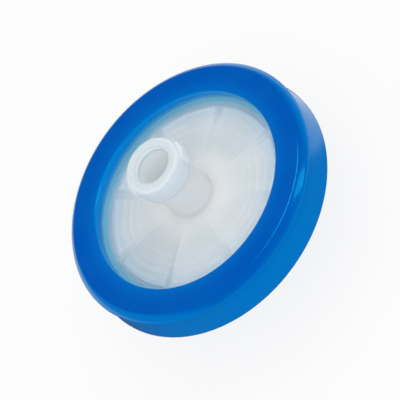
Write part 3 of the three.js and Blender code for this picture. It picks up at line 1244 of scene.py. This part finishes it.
@dataclass
class InletCap(Piece):
    """The clear cap: clamping rim, recessed face with ridged sectors, and the female Luer-lock hub.

    Args:
        stack: Levels and radii of the frame.
        lips: How the ring wraps the rims.

    The sizes that end in _round are fillets of the outline.
    """

    node = "inlet_housing"
    slot = "clear_inlet"

    stack: Stack
    lips: Lips

    # Wall
    membrane_grip: float = 0.8 * MM
    chamber_gap: float = 0.2 * MM
    floor_thickness: float = 0.78 * MM

    # Face
    slope_gap: float = 0.1 * MM
    slope_run: float = 0.63 * MM
    pad_height: float = 0.2 * MM
    pad_rise: float = 0.18 * MM
    pad_inset: float = 0.2 * MM
    pad_draft: float = 0.08 * MM
    ridge_count: int = 4
    ridge_pitch: float = 0.97 * MM
    ridge_offset: float = 0.2 * MM
    ridge_width: float = 0.44 * MM
    ridge_crest: float = 0.16 * MM
    ridge_height: float = 0.045 * MM
    channel_outer: float = 0.9 * MM
    channel_inner: float = 0.4 * MM
    channel_margin: float = 0.45 * MM
    channel_rise: float = 0.33 * MM
    channel_run: float = 0.15 * MM  # over which a channel opens beside the hub
    channel_shallow: float = 0.3  # share of its depth that it keeps there
    channel_full: Span = (-3.2 * MM, -0.3 * MM)  # from the sectors' edge, where it gains its whole depth
    pad_round: float = 0.06 * MM
    pad_foot_round: float = 0.08 * MM
    ridge_foot_round: float = 0.1 * MM
    ridge_top_round: float = 0.08 * MM
    spread_depth: float = 0.25 * MM
    spread_outer: float = 0.9 * MM
    spread_inner: float = 0.4 * MM
    spread_run: Span = (0.3 * MM, 0.6 * MM)  # from the chamber's wall, where a groove gains its depth
    slope_steps: int = 10
    edge_round: float = 0.03 * MM

    # Hub
    mouth_radius: float = 2.15 * MM
    lead_in: float = 0.1 * MM
    lead_in_depth: float = 0.3 * MM
    throat_radius: float = 1.2 * MM
    throat_length: float = 1.45 * MM
    throat_flare: float = 0.3 * MM
    hub_wall: float = 0.62 * MM
    foot_radius: float = 0.6 * MM
    neck_round: float = 0.4 * MM
    collar_wall: float = 1.15 * MM
    collar_foot_round: float = 0.3 * MM
    collar_round: float = 0.45 * MM
    mouth_round: float = 0.05 * MM
    shoulder_round: float = 0.1 * MM
    throat_round: float = 0.15 * MM
    collar_skirt: float = 0.3 * MM
    collar_slope: float = 0.35 * MM
    lug_reach: float = 0.35 * MM
    lug_width: float = 2.6 * MM
    lug_drop: float = 0.6 * MM
    lug_height: float = 1.5 * MM
    lug_undercut: float = 0.5 * MM
    lug_round: float = 0.2 * MM
    lug_flank: Span = (-0.2 * MM, 0.15 * MM)  # from half its width, where a lug's side falls to the collar
    lug_ease: float = 0.15  # how far the rounding of its underside reaches past the slope, as a share
    lug_lead: float = math.radians(9)
    lug_turn: float = math.radians(-22.5)

    def __post_init__(self) -> None:
        """Works out the levels and radii that follow from the sizes."""
        stack = self.stack
        self.cap_top = stack.ring_front - self.lips.front
        self.roof = stack.joint + self.chamber_gap
        self.floor = self.roof + self.floor_thickness
        self.pad = self.floor + self.pad_height
        self.collar_bottom = (
            stack.rim - self.lug_drop - self.lug_height - self.lug_undercut - self.collar_skirt
        )
        self.window = self.lips.window(stack)
        self.floor_radius = self.window - self.slope_gap - self.slope_run
        self.pad_radius = self.floor_radius - self.pad_inset
        self.chamber_radius = stack.membrane_radius - self.membrane_grip
        self.collar_radius = self.mouth_radius + self.collar_wall
        self.foot = self.hub_radius(self.pad) + self.foot_radius
        self.channel_end = self.foot + self.channel_margin
        self.grid = SectorGrid()

    def socket_radius(self, height: float) -> float:
        """Radius of the tapered socket at a level below its mouth."""
        return self.mouth_radius - LUER_TAPER / 2 * (self.stack.rim - self.lead_in_depth - height)

    def hub_radius(self, height: float) -> float:
        """Radius of the hub's thin wall at a level."""
        return self.socket_radius(height) + self.hub_wall

    def pad_level(self, radius: float) -> float:
        """Level of the middle of a sector's face at a radius."""
        return self.pad + self.pad_rise * (self.pad_radius - radius) / (self.pad_radius - self.foot)

    def channel_width(self, radius: float) -> float:
        """Width of a channel at a radius."""
        return float(
            np.interp(radius, [self.channel_end, self.pad_radius], [self.channel_inner, self.channel_outer])
        )

    def channel_floor(self, radius: float) -> float:
        """Level of the channels' floor at a radius: it rises towards the hub, where the channels run out."""
        outer = self.pad_radius + self.pad_inset / 2
        return self.floor + self.channel_rise * max(0.0, outer - radius) / (outer - self.channel_end)

    def spread_width(self, radius: float) -> float:
        """Width of a groove in the roof at a radius."""
        return float(np.interp(radius, [0.0, self.chamber_radius], [self.spread_inner, self.spread_outer]))

    def slope(self) -> list[tuple[float, float]]:
        """Points of the hollow curve from the cap's rim down to its floor.

        Returns:
            Radius and height of each point.
        """
        start = np.array([self.window - self.slope_gap, self.cap_top])
        pull = np.array([self.floor_radius + self.pad_inset, self.floor])
        end = np.array([self.floor_radius, self.floor])
        points = []
        for share in np.linspace(0.0, 1.0, self.slope_steps + 1):
            point = (1 - share) ** 2 * start + 2 * share * (1 - share) * pull + share**2 * end
            points.append((float(point[0]), float(point[1])))
        return points

    def outline(self) -> Outline:
        """Outline of the cap through the middle of a sector, clear of the lugs.

        Returns:
            The outline, with a zone for each stretch that mesh() works on.
        """
        stack = self.stack
        rim, shoulder = stack.rim, self.roof + self.throat_length
        joint, cap_top = stack.joint + self.lips.shut, self.cap_top - self.lips.shut
        outline = Outline(zone="roof", fillet=self.edge_round)
        outline.to(self.throat_radius + self.throat_flare, self.roof)
        outline.to(self.chamber_radius - self.spread_outer, self.roof, splits=10)
        outline.to(self.chamber_radius - 0.1 * MM, self.roof, splits=4)
        outline.to(self.chamber_radius, self.roof, zone="rim")
        outline.to(self.chamber_radius, joint)
        outline.to(stack.housing_radius, joint, splits=3)
        outline.to(stack.housing_radius, cap_top)
        outline.to(self.window, cap_top, SHARP)
        outline.curve(self.slope())
        outline.to(self.pad_radius, self.floor, self.pad_foot_round, zone="pad")
        edge = self.pad_radius - self.pad_draft
        outline.to(edge, self.pad_level(edge), self.pad_round)
        half_width, half_crest = self.ridge_width / 2, self.ridge_crest / 2
        for ridge in range(self.ridge_count):
            crest = edge - self.ridge_offset - half_width - ridge * self.ridge_pitch
            top = self.pad_level(crest) + self.ridge_height
            outline.to(crest + half_width, self.pad_level(crest + half_width), self.ridge_foot_round)
            outline.to(crest + half_crest, top, self.ridge_top_round)
            outline.to(crest - half_crest, top, self.ridge_top_round)
            outline.to(crest - half_width, self.pad_level(crest - half_width), self.ridge_foot_round)
        outline.to(self.channel_end + 0.2 * MM, self.pad_level(self.channel_end), SHARP, splits=10)
        outline.to(self.foot, self.pad_level(self.foot), SHARP, splits=5, zone="hub")
        outline.to(self.hub_radius(self.pad), self.pad_level(self.foot), self.foot_radius)
        outline.to(self.hub_radius(self.collar_bottom), self.collar_bottom, self.neck_round, splits=6)
        outline.to(self.collar_radius, self.collar_bottom + self.collar_slope, self.collar_foot_round)
        lug_top = rim - self.lug_drop
        lug_bottom = lug_top - self.lug_height
        outline.to(self.collar_radius, lug_bottom - self.lug_undercut, SHARP, zone="lug")
        outline.to(self.collar_radius, lug_bottom, SHARP, splits=6)
        outline.to(self.collar_radius, lug_top - self.lug_round, SHARP, splits=12)
        outline.to(self.collar_radius, lug_top, SHARP, splits=6)
        outline.to(self.collar_radius, rim, self.collar_round, zone="collar")
        outline.to(self.mouth_radius + self.lead_in, rim)
        outline.to(self.mouth_radius, rim - self.lead_in_depth, self.mouth_round)
        outline.to(self.socket_radius(shoulder), shoulder, self.shoulder_round, splits=10)
        outline.to(self.throat_radius, shoulder, self.throat_round)
        outline.to(self.throat_radius, self.roof + self.throat_flare, self.shoulder_round, splits=3)
        return outline

    def lug_outline(self, radius: float, height: float, lift: np.ndarray) -> tuple[np.ndarray, np.ndarray]:
        """Moves a point of the collar out to the surface of a lug.

        Args:
            radius: Distance of the plain collar from the axis.
            height: Level of the point on the plain collar.
            lift: How much higher the lug's underside is at each azimuth.

        Returns:
            The radius and the level on the lug, for each azimuth.
        """
        top = self.stack.rim - self.lug_drop
        bottom = top - self.lug_height
        low = bottom - self.lug_undercut
        under = (height - low) / self.lug_undercut
        if under < 1.0:
            reach = self.lug_reach * float(smooth_step(under, -self.lug_ease, 1.0 + self.lug_ease))
            return radius + reach * np.ones_like(lift), height + lift
        if height < top - self.lug_round:
            share = (height - bottom) / (top - self.lug_round - bottom)
            return np.full_like(lift, radius + self.lug_reach), height + lift * (1.0 - share)
        turn = (height - (top - self.lug_round)) / self.lug_round * (math.pi / 2)
        if turn < math.pi / 4:
            out = self.lug_reach - self.lug_round * (1 - math.cos(2 * turn))
            level = top - self.lug_round + self.lug_round * math.sin(2 * turn)
        else:
            out = (self.lug_reach - self.lug_round) * (2 - turn / (math.pi / 4))
            level = top
        return np.full_like(lift, radius + out), np.full_like(lift, level)

    def lug_mask(self, azimuths: np.ndarray) -> tuple[np.ndarray, np.ndarray]:
        """Finds the lugs round the collar.

        Args:
            azimuths: Angle of each point round the axis.

        Returns:
            Share of the lug's form at each azimuth, and how much its underside is lifted there.
        """
        radius = self.collar_radius + self.lug_reach
        x, y = np.cos(azimuths - self.lug_turn) * radius, np.sin(azimuths - self.lug_turn) * radius
        along = y * np.sign(x)
        half = self.lug_width / 2
        mask = 1.0 - smooth_step(np.abs(y), *shifted(self.lug_flank, half))
        lift = np.clip(along + half, 0.0, self.lug_width) * math.tan(self.lug_lead)
        return mask, lift

    def pad_heights(self, radius: float, height: float, azimuths: np.ndarray) -> np.ndarray:
        """Levels of one row of the face: flat sectors, with the channels sunk between them.

        Args:
            radius: Distance of the row from the axis.
            height: Its level in the middle of a sector.
            azimuths: Angle of each point round the axis.

        Returns:
            The level of each point.
        """
        slope = self.pad_rise / (self.pad_radius - self.foot)
        heights = height + slope * radius * (1 - np.cos(self.grid.from_sector_middle(azimuths)))
        opened = float(smooth_step(radius, self.channel_end, self.channel_end + self.channel_run))
        deepened = float(smooth_step(radius, *shifted(self.channel_full, self.pad_radius)))
        depth = opened * (self.channel_shallow + (1.0 - self.channel_shallow) * deepened)
        kept = 1.0 - (1.0 - self.grid.channel_mask()) * depth
        bottom = np.minimum(self.channel_floor(radius), heights)
        return bottom + (heights - bottom) * kept

    def mesh(self) -> bpy.types.Mesh:
        """Turns the cap, with channels, roof grooves and lugs worked into the rows.

        Returns:
            The closed mesh.
        """
        grid = self.grid
        surface = Turning(grid.count)
        ones = np.ones(grid.count)
        groove = grid.groove_mask()
        points, zones = self.outline().points()
        for (radius, height), zone in zip(points, zones):
            radii, heights = radius * ones, height * ones
            if zone == "roof":
                azimuths = grid.azimuths(radius, groove=self.spread_width(radius))
                inside = smooth_step(self.chamber_radius - radius, *self.spread_run)
                heights = heights + self.spread_depth * groove * inside
            elif zone == "rim":
                azimuths = grid.azimuths(self.pad_radius, channel=self.channel_outer)
            elif zone == "pad":
                azimuths = grid.azimuths(radius, channel=self.channel_width(radius))
                heights = self.pad_heights(radius, height, azimuths)
            else:
                azimuths = grid.azimuths(radius)
            if zone == "lug":
                mask, lift = self.lug_mask(azimuths)
                lug_radii, lug_heights = self.lug_outline(radius, height, lift)
                radii = radii + mask * (lug_radii - radii)
                heights = heights + mask * (lug_heights - heights)
            surface.add(radii, heights, azimuths)
        return surface.mesh(self.node)

    def finish(self) -> bpy.types.Material:
        """Dresses the cap in translucent plastic, blue where the ring shines through.

        Returns:
            The material.
        """
        return MilkyPlastic(
            name="milky_cap_plastic",
            edge=self.floor_radius,
            low=self.stack.joint,
            high=self.stack.ring_front,
            hub=self.foot,
            crown=self.collar_bottom,
            socket=self.mouth_radius,
            rim=self.stack.rim,
            sector_shades=PAINTED_SECTOR_SHADES,
        ).material()


@dataclass
class OutletBase(Piece):
    """The clear base: membrane seat with drains, boss, and the male Luer tip.

    Args:
        stack: Levels and radii of the frame.
        lips: How the ring wraps the rims.

    The sizes that end in _round are fillets of the outline.
    """

    node = "outlet_housing"
    slot = "clear_outlet"

    stack: Stack
    lips: Lips

    # Tip and boss
    tip_length: float = 7.0 * MM
    tip_end_radius: float = 1.975 * MM
    tip_chamfer: float = 0.2 * MM
    bore_radius: float = 1.05 * MM
    boss_shoulder: float = 1.015 * MM
    boss_flare: float = 1.3 * MM
    boss_round: float = 0.4 * MM
    end_round: float = 0.05 * MM
    tip_round: float = 0.15 * MM
    root_round: float = 0.12 * MM
    flare_round: float = 0.35 * MM
    edge_round: float = 0.03 * MM
    glow_start: float = 0.3 * MM  # inside the window, where the ring starts to shine through
    glow_above: float = 1.0 * MM  # over the joint, up to where it does
    glow_share: float = 0.6

    # Seat and drains
    membrane_clearance: float = 0.1 * MM
    membrane_grip: float = 0.8 * MM
    funnel_flare: float = 1.15 * MM
    drain_depth: float = 0.45 * MM
    drain_width: float = 0.7 * MM
    drain_pitch: float = 1.75 * MM
    drain_edge: float = 0.9 * MM
    drain_count: int = 5
    drain_channel: float = 0.9 * MM
    funnel_round: float = 0.2 * MM

    def outline(self) -> Outline:
        """Outline of the base between two radial drains.

        Returns:
            The outline, with a zone for the seat that mesh() works on.
        """
        stack, lips = self.stack, self.lips
        under = stack.ring_back + lips.back
        root = stack.tip + self.tip_length
        root_radius = self.tip_end_radius + LUER_TAPER / 2 * self.tip_length
        boss = root_radius + self.boss_shoulder
        window = lips.window(stack)
        joint = stack.joint - lips.shut
        seat_radius = stack.membrane_radius + self.membrane_clearance
        drain_floor = stack.seat - self.drain_depth
        outer_drain = stack.membrane_radius - self.membrane_grip - self.drain_edge
        funnel = self.bore_radius + self.funnel_flare
        outline = Outline(zone="outside", fillet=self.edge_round)
        outline.to(self.bore_radius, stack.tip, self.end_round)
        outline.to(self.tip_end_radius - self.tip_chamfer, stack.tip, self.end_round)
        outline.to(self.tip_end_radius, stack.tip + self.tip_chamfer, self.tip_round)
        outline.to(root_radius, root, self.root_round, splits=10)
        outline.to(boss, root, self.boss_round)
        outline.to(boss + self.boss_flare, under, self.flare_round, splits=4)
        outline.to(window - 0.6 * MM, under, SHARP, splits=10)
        outline.to(window, under, SHARP, splits=4)
        outline.to(stack.housing_radius, under + lips.shut, splits=2)
        outline.to(stack.housing_radius, joint)
        outline.to(seat_radius, joint)
        outline.to(seat_radius, stack.seat, zone="seat")
        for drain in range(self.drain_count):
            outer = outer_drain - drain * self.drain_pitch
            outline.to(outer, stack.seat)
            outline.to(outer, drain_floor)
            outline.to(outer - self.drain_width, drain_floor)
            outline.to(outer - self.drain_width, stack.seat)
        outline.to(funnel, stack.seat)
        outline.to(funnel, drain_floor, zone="bore")
        outline.to(self.bore_radius, drain_floor - self.funnel_flare, self.funnel_round, splits=3)
        return outline

    def mesh(self) -> bpy.types.Mesh:
        """Turns the base, with the radial drains worked into the rows of the seat.

        Returns:
            The closed mesh.
        """
        grid = SectorGrid()
        surface = Turning(grid.count)
        ones = np.ones(grid.count)
        channel = grid.channel_mask()
        drain_floor = self.stack.seat - self.drain_depth
        last = self.stack.membrane_radius - self.membrane_grip - self.drain_edge - self.drain_width / 2
        points, zones = self.outline().points()
        for (radius, height), zone in zip(points, zones):
            heights = height * ones
            azimuths = grid.azimuths(radius)
            if zone == "seat":
                azimuths = grid.azimuths(radius, channel=self.drain_channel)
                kept = np.maximum(channel, 1.0 if radius > last else 0.0)
                heights = drain_floor + (heights - drain_floor) * kept
            surface.add(radius * ones, heights, azimuths)
        return surface.mesh(self.node)

    def finish(self) -> bpy.types.Material:
        """Dresses the base in translucent plastic, blue near the ring's window.

        Returns:
            The material.
        """
        return MilkyPlastic(
            name="milky_base_plastic",
            edge=self.lips.window(self.stack) - self.glow_start,
            low=self.stack.ring_back,
            high=self.stack.joint + self.glow_above,
            glow_share=self.glow_share,
        ).material()


# ---------------------------------------------------------------------------------------------------------
# Surround, light and camera
# ---------------------------------------------------------------------------------------------------------


@dataclass
class Surround:
    """White surround and pale floor; in reflections the floor shows a painted patch of light to the right of
    the filter and painted shade round it.

    Args:
        ambient: Strength of the soft light that comes from all round.
        upper: How bright the upper surround looks in reflections.
        through: How bright the surround looks through the clear plastic.
        floor_radius: Size of the floor.
        floor_colour: Colour of the floor.
        floor_glow: Share of plain white in what the camera sees of the floor.
        floor_shade_in_reflections: How bright the floor round the filter looks in reflections: painted shade
            that stands for its shadow there.
        light_patch_edge: Where the painted patch of light that shows in the ring's side starts, to the right
            of the axis.
        light_patch_slant: How much its edge draws nearer towards the back.
        back_edge: Where the white surround starts, behind the axis.
        edge_blur: Softness of that patch's edge.
        back_blur: Softness of the edge behind the axis.
        horizon: Span of the upward direction over which reflections turn from white to dim.
        floor_depth: Thickness of the floor.
        floor_roughness: Roughness of its paint.
        floor_rings: Rings of faces from its middle to its edge.
        floor_count: Points round its edge.
    """

    ambient: float = 0.72
    upper: float = 0.06
    through: float = 1.0
    floor_radius: float = 3.0
    floor_colour: Colour = (0.92, 0.925, 0.93, 1.0)
    floor_glow: float = 0.82
    floor_shade_in_reflections: float = 0.06
    light_patch_edge: float = 19.8 * MM
    light_patch_slant: float = 0.35
    back_edge: float = 15 * MM
    edge_blur: float = 2 * MM
    back_blur: float = 12 * MM
    horizon: Span = (-0.1, 0.14)
    floor_depth: float = 0.5 * MM
    floor_roughness: float = 0.9
    floor_rings: int = 6
    floor_count: int = 96

    def world(self) -> None:
        """Makes the surround: white to the camera, and in reflections white low down and dim above."""
        world = bpy.data.worlds.new("white_surround")
        world.use_nodes = True
        bpy.context.scene.world = world
        nodes = Nodes(world.node_tree)
        background = world.node_tree.nodes["Background"]
        path = nodes.add("ShaderNodeLightPath")
        height = nodes.axes(nodes.add("ShaderNodeTexCoord").outputs["Generated"])[2]
        mirrored = nodes.spread(height, self.horizon, (1.0, self.upper))
        background.inputs["Color"].default_value = (1.0, 1.0, 1.0, 1.0)
        strength = self.ambient
        looks = {"Is Glossy Ray": mirrored, "Is Transmission Ray": self.through, "Is Camera Ray": 1.0}
        for ray, look in looks.items():
            is_ray = path.outputs[ray]
            rest = nodes.maths("MULTIPLY", nodes.maths("SUBTRACT", 1.0, is_ray), strength)
            strength = nodes.maths("MULTIPLY_ADD", is_ray, look, rest)
        nodes.feed(strength, background.inputs["Strength"])

    def mirrored_floor(self, nodes: Nodes) -> Wire:
        """Gives the floor's brightness in reflections: painted shade round the filter, a painted patch of
        light to the right, and white behind.

        Args:
            nodes: The floor material's tree.

        Returns:
            The brightness.
        """
        x, y, _ = nodes.axes(nodes.place())
        across = nodes.maths("MULTIPLY_ADD", y, self.light_patch_slant, x)
        rise = (self.floor_shade_in_reflections, 1.0)
        # Painted light: a bright patch to the right in reflections; painted shade round the filter
        light_patch = nodes.spread(across, (self.light_patch_edge, self.light_patch_edge + self.edge_blur), rise)
        back = nodes.spread(y, (self.back_edge, self.back_edge + self.back_blur), rise)
        return nodes.maths("MAXIMUM", light_patch, back)

    def paint(self) -> bpy.types.Material:
        """Makes the floor's paint: matt, lifted towards white for the camera, and a glow in reflections.

        Returns:
            The material.
        """
        material, nodes, shader = new_material("pale_floor_paint")
        shader.inputs["Base Color"].default_value = self.floor_colour
        shader.inputs["Roughness"].default_value = self.floor_roughness
        shader.inputs["Specular IOR Level"].default_value = 0.0
        path = nodes.add("ShaderNodeLightPath")
        glossy = path.outputs["Is Glossy Ray"]
        rest = nodes.maths("SUBTRACT", 1.0, glossy)
        strength = nodes.maths("MULTIPLY_ADD", glossy, self.mirrored_floor(nodes), rest)
        glow = nodes.add("ShaderNodeEmission", {"Strength": strength})
        sharp = nodes.maths("MAXIMUM", glossy, path.outputs["Is Transmission Ray"])
        camera = nodes.maths("MULTIPLY", path.outputs["Is Camera Ray"], self.floor_glow)
        share = nodes.maths("MAXIMUM", sharp, camera)
        mix = nodes.add("ShaderNodeMixShader", {0: share, 1: shader.outputs[0], 2: glow.outputs[0]})
        nodes.feed(mix.outputs[0], material.node_tree.nodes["Material Output"].inputs["Surface"])
        return material

    def floor(self) -> bpy.types.Object:
        """Lays the floor, a wide round sheet.

        Returns:
            The floor.
        """
        outline = Outline(fillet=SHARP)
        outline.to(0.0, -self.floor_depth)
        outline.to(self.floor_radius, -self.floor_depth)
        outline.to(self.floor_radius, 0.0)
        outline.to(0.0, 0.0, splits=self.floor_rings)
        floor = bpy.data.objects.new("pale_floor", turned(outline, self.floor_count, "pale_floor"))
        bpy.context.scene.collection.objects.link(floor)
        floor.data.materials.append(self.paint())
        return floor


class Use(Enum):
    """What a lamp is for."""

    LIGHT = "it lights the matt side of a surface only"
    SHINE = "it shows in reflections only"


@dataclass(frozen=True)
class Softbox:
    """An area lamp that looks at the filter.

    Args:
        name: Name of the lamp.
        azimuth: Direction it stands in, in degrees; 0 is on the -Y side and 90 on the +X side.
        elevation: Its height over the horizon, in degrees.
        distance: Distance from the filter.
        face: Width and height of its face.
        power: Its power in watts.
        use: Whether it lights or shines.
    """

    name: str
    azimuth: float
    elevation: float
    distance: float
    face: tuple[float, float]
    power: float
    use: Use

    def place(self, target: Vector) -> bpy.types.Object:
        """Makes the lamp and turns it to the target.

        Args:
            target: Middle of what it lights.

        Returns:
            The lamp.
        """
        lamp = bpy.data.lights.new(self.name, "AREA")
        lamp.shape = "RECTANGLE"
        lamp.size, lamp.size_y = self.face
        lamp.energy = self.power
        softbox = bpy.data.objects.new(self.name, lamp)
        turn, rise = math.radians(self.azimuth), math.radians(self.elevation)
        away = Vector((math.sin(turn) * math.cos(rise), -math.cos(turn) * math.cos(rise), math.sin(rise)))
        softbox.location = target + away * self.distance
        softbox.rotation_mode = "QUATERNION"
        softbox.rotation_quaternion = (-away).to_track_quat("-Z", "Y")
        softbox.visible_camera = False
        softbox.visible_glossy = self.use is not Use.LIGHT
        softbox.visible_diffuse = self.use is not Use.SHINE
        bpy.context.scene.collection.objects.link(softbox)
        return softbox


@dataclass
class Viewpoint:
    """The camera: a long lens that looks down at the ring's face, rolled so that the hub points up and left.

    Args:
        stack: Levels and radii of the frame.
        elevation: Height of the camera over the horizon.
        roll: How far the picture is turned anticlockwise.
        lens: Focal length, in the sensor's millimetres.
        sensor: Width of the sensor.
        view_width: Width of what the camera sees at the ring's face.
        right: Where the aim lies to the right of the middle of the ring's face.
        down: Where the aim lies below it.
        clip: Nearest and farthest distance that shows.
    """

    stack: Stack
    elevation: float = math.radians(46.0)
    roll: float = math.radians(53.8)
    lens: float = 500.0
    sensor: float = 36.0
    view_width: float = 43.17 * MM
    right: float = 1.702 * MM
    down: float = 1.176 * MM
    clip: Span = (0.05, 20.0)

    def build(self) -> bpy.types.Object:
        """Makes the scene's camera.

        Returns:
            The camera.
        """
        level = Vector((1.0, 0.0, 0.0))
        upright = Vector((0.0, math.sin(self.elevation), math.cos(self.elevation)))
        across = level * math.cos(self.roll) - upright * math.sin(self.roll)
        up = level * math.sin(self.roll) + upright * math.cos(self.roll)
        back = across.cross(up)
        distance = self.view_width * self.lens / self.sensor
        aim = Vector((0.0, 0.0, self.stack.ring_front)) + across * self.right - up * self.down
        data = bpy.data.cameras.new("long_lens")
        data.lens = self.lens
        data.sensor_width = self.sensor
        data.clip_start, data.clip_end = self.clip
        camera = bpy.data.objects.new("long_lens", data)
        turn = Matrix((across, up, back)).transposed()
        camera.matrix_world = Matrix.Translation(aim + back * distance) @ turn.to_4x4()
        bpy.context.scene.collection.objects.link(camera)
        bpy.context.scene.camera = camera
        return camera


SOFTBOXES = (
    Softbox("overhead", 110, 68, distance=0.9, face=(1.0, 0.8), power=1.4, use=Use.LIGHT),
    Softbox("front_fill", -12, 52, distance=0.9, face=(0.6, 0.6), power=1.75, use=Use.LIGHT),
    Softbox("edge_light", 118, 74, distance=0.9, face=(0.4, 0.5), power=5.5, use=Use.SHINE),
    Softbox("side_strip", 57, 34, distance=0.6, face=(0.16, 0.34), power=1.0, use=Use.SHINE),
)


def main() -> None:
    """Builds the surround, the camera, the lamps and the four pieces."""
    logging.basicConfig(level=logging.INFO, format="%(name)s: %(message)s")
    bpy.context.scene.view_settings.view_transform = "Standard"
    stack, lips = Stack.from_frame(), Lips()
    Viewpoint(stack).build()
    surround = Surround()
    surround.world()
    surround.floor()
    middle = Vector((0.0, 0.0, stack.ring_front))
    for softbox in SOFTBOXES:
        softbox.place(middle)
    for piece in (OuterRing(stack, lips), InletCap(stack, lips), Membrane(stack), OutletBase(stack, lips)):
        piece.build()


if __name__ == "__main__":
    main()
